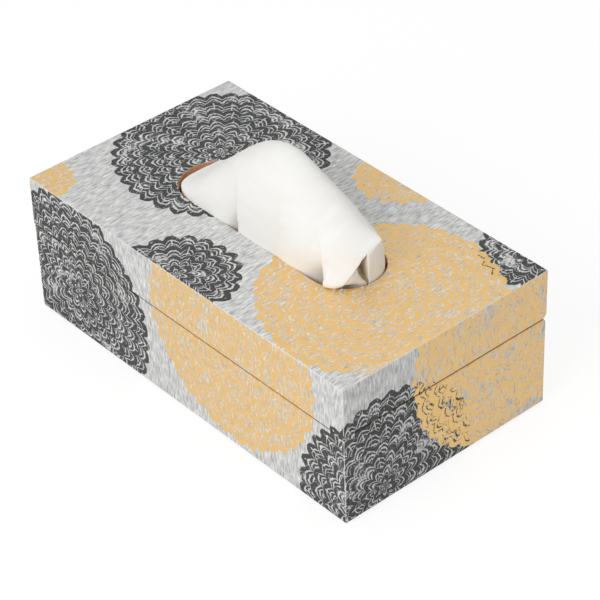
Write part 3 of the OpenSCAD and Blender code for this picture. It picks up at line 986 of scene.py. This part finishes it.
@dataclass
class PulledTissue:
    """The standing tissue: a puffed sheet that rises from the slot to a leaning crest."""

    shell: Shell
    paper: Material
    around: int = 460
    up: int = 80
    down: int = 24
    left_room: float = 5 * MM       # between the tissue and the slot's left end
    right_room: float = 1 * MM
    high: float = 43.9 * MM         # crest over the slot at its peak
    end_high: float = 20.5 * MM     # and at its right end
    peak: float = 4.1 * MM          # where the peak stands
    left_fall: float = 1.235        # powers of the crest's fall to its two ends
    right_fall: float = 1.19
    crest_back: float = 8 * MM
    crest_slant: float = 0.099
    crest_bend: float = 7 * MM      # how far the crest bends back at its right end
    bend_long: float = 15.5 * MM
    crest_narrow: float = 0.012     # how much shorter the crest is than the slot's opening
    tail: float = 44 * MM           # how far the sheet goes down under the slot
    last_turn: float = 88.0         # degrees of the quarter turn from slot to crest
    left_square: float = 0.50       # power of the outline: the lower, the squarer the end
    right_square: float = 0.62
    pressed: float = 1.06           # how far the outline is pressed flat by the slot's sides
    pleats: int = 20
    pleat_deep: float = 12 * MM
    foot_draw: Pair = (0.14, 0.36)  # share of its length and width that the foot draws in
    puff: float = 0.35 * MM         # slow waves all over
    crisp: float = 0.8 * MM         # width over which a lap's edge drops
    ply: float = 0.25 * MM          # thickness
    map_wide: float = 0.3           # how wide the sheet's map is
    # where the columns are packed closer: direction, half width in degrees, and how much
    packing: tuple[Triple, ...] = ((6, 9, 5), (93.5, 2.5, 8), (52, 5, 4), (64, 6, 4), (1.5, 1.2, 9))
    folds: tuple[Fold, ...] = (
        Fold(100, 5, 5 * MM, 24 * MM), Fold(60, 7, 4 * MM, 18 * MM), Fold(82, 9, 1.5 * MM, 36 * MM),
        Fold(160, 5, 3 * MM, 16 * MM), Fold(128, 9, 1.2 * MM, 30 * MM))
    laps: tuple[Lap, ...] = (
        Lap(-9.6 * MM, 11 * MM, 8 * MM, 8 * MM, 12), Lap(-9.6 * MM, 18 * MM, 1.0 * MM, 26 * MM, 12),
        Lap(54.4 * MM, 24 * MM, 6 * MM, 7.5 * MM, 18), Lap(54.4 * MM, 14 * MM, 0.9 * MM, 22 * MM, 18),
        Lap(24 * MM, 20 * MM, 0.6 * MM, 36 * MM, 9))
    lobe_deep: float = 4.2 * MM     # how far the lobe at the right end stands out
    lobe_x: float = 55 * MM         # where it begins
    shade_from_x: float = 56 * MM          # where the right end's painted shade begins
    upright: float = -2.1 * MM      # where the upright fold of the right end stands
    flap_in: float = 1.3 * MM       # how far in the flap lies at the right end
    pocket_in: float = 6.5 * MM     # how much further the pocket goes
    foot_in: float = 4.5 * MM       # how much further the flap's foot stands back
    panel_in: float = 1.2 * MM      # how far the end panel turns back
    # the front panel's slanting right edge, and the flap's edge: height and place, in mm
    slant: tuple[Pair, ...] = ((-20, -16), (0, -14.5), (2.5, -12.8), (6.7, -11.1), (10.3, -8.9),
                               (14.2, -5.6), (15.7, -3.7), (17, -2.1), (20, 1))
    flap: tuple[Pair, ...] = ((0, -3.5), (3, -5.7), (6.9, -7.3), (10.9, -8.1), (14.2, -5.6),
                              (15.7, -3.7), (17, -2.1))

    def ends(self) -> Pair:
        """Where the tissue's left and right ends stand in the slot."""
        return self.left_room - SLOT_HALF[0], SLOT_HALF[0] - self.right_room

    def directions(self) -> Array:
        """Directions of the columns, front and back alike, packed closer by a sum of bells.

        Returns:
            Directions in degrees.
        """
        fine = np.linspace(0, 180, 3601)
        dense = 1 + sum(more * hump(fine, turn, wide) for turn, wide, more in self.packing)
        share = np.concatenate([[0], np.cumsum((dense[1:] + dense[:-1]) / 2)])
        wanted = np.linspace(0, share[-1], self.around // 2 + 1)
        half = np.interp(wanted, share, fine)
        return np.concatenate([half, 360 - half[1:-1][::-1]])

    def outline(self, a: Array) -> tuple[Array, Array]:
        """The tissue's edge in the slot: a power curve of the direction, pressed flat on the sides.

        Args:
            a: Directions in degrees.

        Returns:
            The places along X and along Y.
        """
        low, high = self.ends()
        ca, sa = np.cos(np.radians(a)), np.sin(np.radians(a))
        power = np.where(ca < 0, self.left_square, self.right_square)
        x = (low + high) / 2 + (high - low) / 2 * np.sign(ca) * np.abs(ca) ** power
        return x, SLOT_HALF[1] * np.sign(sa) * np.minimum(1, self.pressed * np.abs(sa) ** power)

    def crest(self, x: Array) -> Array:
        """The crest's height: a cosine's power down to the left end, a power's slope to the right.

        Args:
            x: Places along the slot.

        Returns:
            Heights over the box.
        """
        low, high = self.ends()
        toward_left = np.clip((x - self.peak) / (low - self.peak), 0, 1)
        toward_right = np.clip((x - self.peak) / (high - self.peak), 0, 1)
        left = self.high * np.cos(math.pi / 2 * toward_left) ** self.left_fall
        right = self.high - (self.high - self.end_high) * toward_right ** self.right_fall
        return np.where(x < self.peak, left, right)

    def crest_y(self, x: Array) -> Array:
        """How far back the crest lies: it slants forward to the right and bends back at its end."""
        bend = self.crest_bend * smooth_rise((x - self.ends()[1]) / self.bend_long + 1)
        return self.crest_back - self.crest_slant * x + bend

    def lapped(self, x: Array, z: Array) -> Array:
        """How far the front is turned in by the laps: a square rise up to each edge, then a drop.

        The lobe at the right end stands out by a bell of the height.

        Args:
            x: Places along the slot.
            z: Heights over the box.

        Returns:
            Depths, below 0 where the front stands out.
        """
        deep = np.zeros_like(x)
        for lap in self.laps:
            past = x - lap.x + lap.lean * z ** 2
            rise = np.clip(1 + past / lap.wide, 0, 1) ** 2 * smooth_rise(0.5 - past / self.crisp)
            deep = deep + lap.deep * rise * hump(z, 0, lap.high)
        lobe = smooth_rise((x - self.lobe_x) / (3 * MM)) * hump(z, 2.5 * MM, 5 * MM)
        return deep - self.lobe_deep * lobe * smooth_rise(z / self.crisp)

    @staticmethod
    def edge_at(z: Array, edge: tuple[Pair, ...]) -> Array:
        """Reads an edge's place at heights in metres, in a straight line between its pairs."""
        heights, places = np.array(edge).T * MM
        return np.interp(z, heights, places)

    def under_slant(self, y: Array, z: Array) -> Array:
        """1 between the slanting edge and the upright fold, 0 beyond them."""
        behind = smooth_rise((y - self.edge_at(z, self.slant)) / self.crisp)
        return behind * smooth_rise((self.upright - y) / (0.35 * MM))

    def foot(self, y: Array, z: Array) -> Array:
        """1 at the flap's foot, which stands back from the slot's edge, and 0 away from it."""
        return hump(y, -11.2 * MM, 3.4 * MM) * hump(np.maximum(z, 0), 0, 2.2 * MM)

    def end_recess(self, y: Array, z: Array) -> Array:
        """How far the right end lies in behind the front panel's slanting edge.

        A shallow flap lies next to the slanting edge and a deepening pocket between the
        flap and an upright fold. The flap's foot stands back from the slot's edge, and
        beyond the fold the end panel turns back by a square.

        Args:
            y: Places across the slot.
            z: Heights over the box.

        Returns:
            Depths.
        """
        shallow = 0.4 + 0.6 * smooth_rise(z / (5 * MM))
        pocket = np.clip((y - self.edge_at(z, self.flap)) / (6 * MM), 0, 1)
        panel = np.clip((y + 2.2 * MM) / (12 * MM), 0, 1)
        deep = self.under_slant(y, z) * (self.flap_in + self.pocket_in * pocket) * shallow
        return deep + self.foot_in * self.foot(y, z) + self.panel_in * panel ** 2 * hump(z, 0, 30 * MM)

    def thin(self, x: Array, y: Array, z: Array) -> Array:
        """Painted shade on the tissue: darker in the right end's flap, pocket and foot, and under the laps' edges.

        Args:
            x: Places along the slot.
            y: Places across it.
            z: Heights over the box.

        Returns:
            Shares from 0 to 1.
        """
        right = smooth_rise((x - self.shade_from_x) / (3 * MM))
        pocket = smooth_rise((y - self.edge_at(z, self.flap)) / self.crisp)
        under = self.under_slant(y, z) * (0.25 + 1.1 * pocket)
        deep = np.clip(self.lapped(x, z) / (7 * MM), 0, 1) * (y < 0)
        return np.clip(right * (under + 0.35 * self.foot(y, z)) + 0.55 * deep, 0, 1)

    def surface(self, a: Array, s: Array) -> Array:
        """Points at direction a, in degrees, and level s.

        Level -1 is the lower edge, 0 the slot's top and 1 the crest. Above the slot a
        quarter turn leads each point of the outline back to the crest. The laps push the
        front in, the recess the right end and the soft grooves the back. Below the slot
        the sheet draws in and its pleats deepen.

        Args:
            a: Directions, 270 being the front.
            s: Levels.

        Returns:
            Points with a last axis of three.
        """
        x0, y0 = self.outline(a)
        ca, sa = np.cos(np.radians(a)), np.sin(np.radians(a))
        turn = np.radians(np.clip(s, 0, 1) * self.last_turn)
        lean = 1 - np.cos(turn)
        x = x0 - (x0 - np.mean(self.ends())) * self.crest_narrow * lean
        y = y0 * (1 - lean) + self.crest_y(x) * lean
        z = self.crest(x) * np.sin(turn) / math.sin(math.radians(self.last_turn))
        slot_deep = self.shell.top - self.shell.ceiling
        below = np.clip((-s * self.tail - slot_deep) / (self.tail - slot_deep), 0, 1)
        still = 1 - below
        swing = np.radians(self.pleats * a) + 1.3 * np.sin(np.radians(3 * a))
        pleat = below ** 0.6 * self.pleat_deep * (1 - np.cos(swing)) / 2
        soft = sum(f.deep * hump(a, f.turn, f.wide) * hump(z, 0, f.high) for f in self.folds)
        soft = soft + self.puff * np.sin(np.radians(5 * a + 40) + z * 90) * np.sin(turn)
        inward = soft * (1 - lean) * still + pleat
        front = smooth_rise(-sa * 2.2) * still * (1 - lean)
        end = smooth_rise((ca - 0.6) * 4) * still
        long, wide = (1 - share * below for share in self.foot_draw)
        px = x * long - inward * ca - end * self.end_recess(y, z)
        py = y * wide - inward * sa + front * self.lapped(x, z)
        pz = np.where(s < 0, s * self.tail, z) + self.shell.top
        return np.stack([px, py, pz], -1)

    def make(self) -> None:
        """Builds the sheet, closed along its crest, and gives it a thin thickness."""
        levels = [np.linspace(-1, 0, self.down, endpoint=False), np.linspace(0, 1, self.up)]
        points = self.surface(*np.meshgrid(self.directions(), np.concatenate(levels)))
        rows, columns = points.shape[:2]
        # the last ring is narrow: its back half is joined to its front half
        last = (rows - 1) * columns
        i = np.arange(1, columns // 2 - 1)
        strip = np.stack([last + i, last + i + 1, last + columns - i - 1, last + columns - i], 1)
        piece = make_piece("standing_tissue", points, np.concatenate([grid_faces(rows, columns), strip]))
        # the map is the distance round the sheet and the height
        corners = corner_numbers(piece.data)
        round_it = (corners % columns) * (self.map_wide / columns)
        put_map(piece, CLOTH_MAP, np.stack([round_it, points.reshape(-1, 3)[corners, 2]], 1))
        x, y, z = np.moveaxis(points, -1, 0)
        # painted shade, darkening the recesses and folds
        put_mark(piece, PAINTED_SHADE_MARK, self.thin(x, y, z - self.shell.top))
        solid = piece.modifiers.new("plies", "SOLIDIFY")
        solid.thickness = self.ply
        solid.offset = -1.0
        dress(piece, self.paper, Body.LID, Slot.TISSUE, "pulled_tissue")


@dataclass
class TissuePack:
    """The folded tissues in the base: a run of thin sheets, round at their long folds."""

    paper: Material
    layers: int = 26
    per_layer: int = 8                  # points up the edge of one sheet
    across_n: int = 120                 # points across the top
    stations: int = 90
    fold_deep: float = 0.7 * MM         # how far the gap between two folds goes in
    slip: float = 0.9 * MM              # how far a sheet may lie back from its neighbours
    round_r: float = 5 * MM             # round of the upper corners
    crown: float = 2 * MM               # how much higher the middle is than the long edges
    last_edge: float = 0.5 * MM         # step of the last sheet's free edge
    ripple: float = 0.25 * MM           # waves of the top sheets

    def section(self, low: Array, high: Array) -> tuple[Array, Array, Array]:
        """The section, up the front, over the crown and down the back.

        Each sheet bulges by a power of half a sine and lies back by its own slip; the
        upper corners are quarter circles. The top falls from its middle by a square and
        has the step of the last sheet's free edge.

        Args:
            low: Lowest corner of the pack's room.
            high: Highest corner.

        Returns:
            Y, Z and the sheet's number at each point.
        """
        height = high[2] - low[2]
        side = height - self.crown
        t = np.linspace(0, self.layers, self.layers * self.per_layer + 1)
        level = np.minimum(np.floor(t), self.layers - 1)
        wander = np.sin(level * 2.4) * np.sin(level * 0.9 + 1)
        up = t / self.layers * side
        corner = np.clip((up - (side - self.round_r)) / self.round_r, 0, 1)
        drawn_in = self.round_r * (1 - np.sqrt(np.maximum(1 - corner ** 2, 0))) * 0.8
        bulge = self.fold_deep * (1 - np.abs(np.sin(math.pi * t)) ** 0.6)
        slipped = self.slip * (0.5 + 0.5 * wander) * (corner < 1)
        side_y = high[1] - 0.05 * MM - bulge - slipped - drawn_in
        across = np.linspace(1, -1, self.across_n + 2)[1:-1]
        top_y = across * side_y[-1]
        step = smooth_rise((top_y + 6 * MM) / (0.5 * MM)) * smooth_rise((top_y + 40 * MM) / (20 * MM))
        top_z = height - self.crown * across ** 2 - 0.6 * MM + self.last_edge * step
        y = np.concatenate([-side_y, -top_y, side_y[::-1]])
        z = np.concatenate([up, top_z, up[::-1]]) + low[2]
        return y, z, np.concatenate([level, np.full(len(top_y), self.layers - 1), level[::-1]])

    def surface(self) -> Array:
        """The section swept along X, closed at both ends over a middle column of points.

        Towards the ends every point slips along X with its own sheet, so that the ends
        show the sheets' edges. Products of two sines ripple the top and draw in the sides.

        Returns:
            Points with a last axis of three.
        """
        low, high = (np.array(c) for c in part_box("tissue_stack"))
        y, z, layer = self.section(low, high)
        length = high[0] - self.slip * (0.5 + 0.5 * np.sin(layer * 1.7 + 0.6)) * 1.2
        x = np.linspace(-1, 1, self.stations)[:, None] * length
        ripple = self.ripple * np.sin(x * 55 + layer * 0.8) * np.sin(x * 23 + 1)
        middle = 1 - np.clip(np.abs(y) / high[1], 0, 1)
        lifted = np.clip(z + ripple * middle * (z > low[2] + 3 * MM), low[2], high[2])
        points = np.stack([x, y * (1 - 0.003 * (1 + np.sin(x * 40 + layer))), lifted], -1)
        ends = points[[0, -1]] * (1, 0, 1)
        return np.concatenate([ends[:1], points, ends[1:]])

    def make(self) -> None:
        """Builds the pack as one closed skin, crisp at the sheets' edges."""
        skin = self.surface()
        piece = make_piece("tissue_pack", skin, grid_faces(*skin.shape[:2]), False)
        mesh = piece.data
        solid = bmesh.new()
        solid.from_mesh(mesh)
        bmesh.ops.remove_doubles(solid, verts=solid.verts, dist=1e-6)
        bmesh.ops.dissolve_degenerate(solid, edges=solid.edges, dist=1e-7)
        bmesh.ops.recalc_face_normals(solid, faces=solid.faces)
        solid.to_mesh(mesh)
        solid.free()
        mesh.set_sharp_from_angle(angle=math.radians(50))
        mesh.polygons.foreach_set("use_smooth", np.ones(len(mesh.polygons), bool))
        places = np.zeros(len(mesh.vertices) * 3)
        mesh.vertices.foreach_get("co", places)
        x, y, z = places.reshape(-1, 3)[corner_numbers(mesh)].T
        put_map(piece, CLOTH_MAP, np.stack([x, y + z], 1))
        dress(piece, self.paper, Body.BASE, Slot.TISSUE, "tissue_stack")


# ---------------------------------------------------------------- carried pieces


@dataclass
class CarriedPieces:
    """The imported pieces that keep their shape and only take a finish."""

    finishes: dict[Slot, Material]

    def dress(self) -> None:
        """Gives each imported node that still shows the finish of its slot."""
        slots = {part["node"]: Slot(part["material_slot"]) for part in frame["record"]["subparts"]}
        for name, piece in frame["nodes"].items():
            material = self.finishes.get(slots[name])
            if material is None:
                continue
            piece.data.materials.clear()
            piece.data.materials.append(material)
            LOG.info("%s takes %s", name, material.name)


# ---------------------------------------------------------------- studio


def stand(name: str, data: bpy.types.ID, *columns: Array) -> Object:
    """Puts a camera or lamp into the scene.

    Args:
        name: Its name.
        data: The camera or lamp.
        *columns: Its own right, up and back directions, and its place.

    Returns:
        The object.
    """
    made = bpy.data.objects.new(name, data)
    bpy.context.scene.collection.objects.link(made)
    made.matrix_world = Matrix([*np.stack(columns, 1).tolist(), [0.0, 0.0, 0.0, 1.0]])
    return made


@dataclass(frozen=True)
class Lamp:
    """A square area lamp that faces the box."""

    name: str
    place: Triple
    size: float
    power: float
    target: Triple = (0, 0, 0.05)

    def light(self) -> None:
        """Sets the lamp up, its back turned away from the target."""
        data = bpy.data.lights.new(self.name, "AREA")
        data.shape = "SQUARE"
        data.size = self.size
        data.energy = self.power
        away = np.array(self.place) - np.array(self.target)
        back = away / np.linalg.norm(away)
        right = np.cross((0.0, 0.0, 1.0), back)
        right = right / np.linalg.norm(right)
        stand(self.name, data, right, np.cross(back, right), back, self.place)


@dataclass
class Studio:
    """Pale floor, soft lamps and the camera, none of them part of the object."""

    azimuth: float = 49.9616
    elevation: float = 37.0683
    roll: float = -2.2814
    lens: float = 151.63
    place: Triple = (0.82530, -0.68237, 0.84398)
    lamps: tuple[Lamp, ...] = (
        Lamp("key", (0.2, -1.25, 0.9), 0.9, 11.3), Lamp("fill", (1.3, -0.3, 0.7), 0.9, 1.4),
        Lamp("overhead", (0.0, 0.2, 1.5), 1.2, 4.6))
    room: float = 0.496             # strength of the white room as light
    mirrored: float = 0.6           # how near to plain white it is in reflections
    floor_grey: float = 0.82
    floor_glow: float = 1.1
    glow_share: float = 0.75        # how much of the glow the camera sees
    floor_half: float = 6.0
    floor_z: float = -0.1 * MM

    def camera(self) -> None:
        """Places the camera by its direction round the box, its height and its roll."""
        az, el, roll = (math.radians(v) for v in (self.azimuth, self.elevation, self.roll))
        back = np.array([math.sin(az) * math.cos(el), -math.cos(az) * math.cos(el), math.sin(el)])
        right = np.array([math.cos(az), math.sin(az), 0])
        up = np.cross(back, right)
        data = bpy.data.cameras.new("camera")
        data.lens = self.lens
        data.sensor_width = 36.0
        bpy.context.scene.camera = stand(
            "camera", data, right * math.cos(roll) + up * math.sin(roll),
            up * math.cos(roll) - right * math.sin(roll), back, self.place)

    def world(self) -> None:
        """A white room: plain white to the camera, softer as light."""
        s = Shader("room", world=True)
        camera, glossy, through = s.rays("Camera", "Glossy", "Transmission")
        seen = (camera + (glossy + through) * self.mirrored).least(1.0)
        strength = seen * (1.0 - self.room) + self.room
        white = s.node("ShaderNodeBackground", inputs={"Color": (1, 1, 1, 1), "Strength": strength})
        bpy.context.scene.world = s.close(white)

    def floor(self) -> None:
        """A wide pale floor that fades to plain white for the camera but keeps the shadow."""
        s = Shader("floor_white")
        camera, glossy = s.rays("Camera", "Glossy")
        seen = (camera + glossy).least(1.0)
        matt = s.node("ShaderNodeBsdfDiffuse", inputs={"Color": (*[self.floor_grey] * 3, 1)})
        glow = s.node("ShaderNodeEmission", inputs={"Color": (1, 1, 1, 1), "Strength": self.floor_glow})
        mixed = s.node("ShaderNodeMixShader", inputs={
            0: seen * self.glow_share, 1: matt.outputs[0], 2: glow.outputs[0]})
        plan = self.floor_half * np.array([[-1, -1], [1, -1], [1, 1], [-1, 1]])
        piece = make_piece("floor", at_height(plan, self.floor_z), np.array([[0, 1, 2, 3]]), False)
        piece.data.materials.append(s.close(mixed))

    def build(self) -> None:
        """Sets up the whole studio."""
        bpy.context.scene.view_settings.view_transform = "Standard"
        self.camera()
        self.world()
        for lamp in self.lamps:
            lamp.light()
        self.floor()


# ---------------------------------------------------------------- the whole box


def main() -> None:
    """Builds the studio, the covers and the tissues, and finishes the carried pieces."""
    logging.basicConfig(level=logging.INFO, format="%(message)s")
    Studio().build()
    shell = Shell()
    paper = PrintedPaper().make()
    LidCover(shell, paper).make()
    BaseCover(shell, paper).make()
    tissue = TissuePaper().make()
    PulledTissue(shell, tissue).make()
    TissuePack(tissue).make()
    CarriedPieces({
        Slot.WALL: Fibreboard("wall_fibreboard", (178, 140, 104), (138, 102, 72)).make(),
        Slot.SLOT_BOARD: StainedSlotBoard("slot_fibreboard", (184, 148, 112), (146, 110, 80)).make(),
        Slot.FELT: Felt().make(),
        Slot.BRASS: Metal("brushed_brass", (212, 176, 110), (150, 116, 66), 0.32).make(),
        Slot.MAGNET: Metal("nickel", (200, 200, 202), (150, 150, 152), 0.28).make(),
    }).dress()


if __name__ == "__main__":
    main()
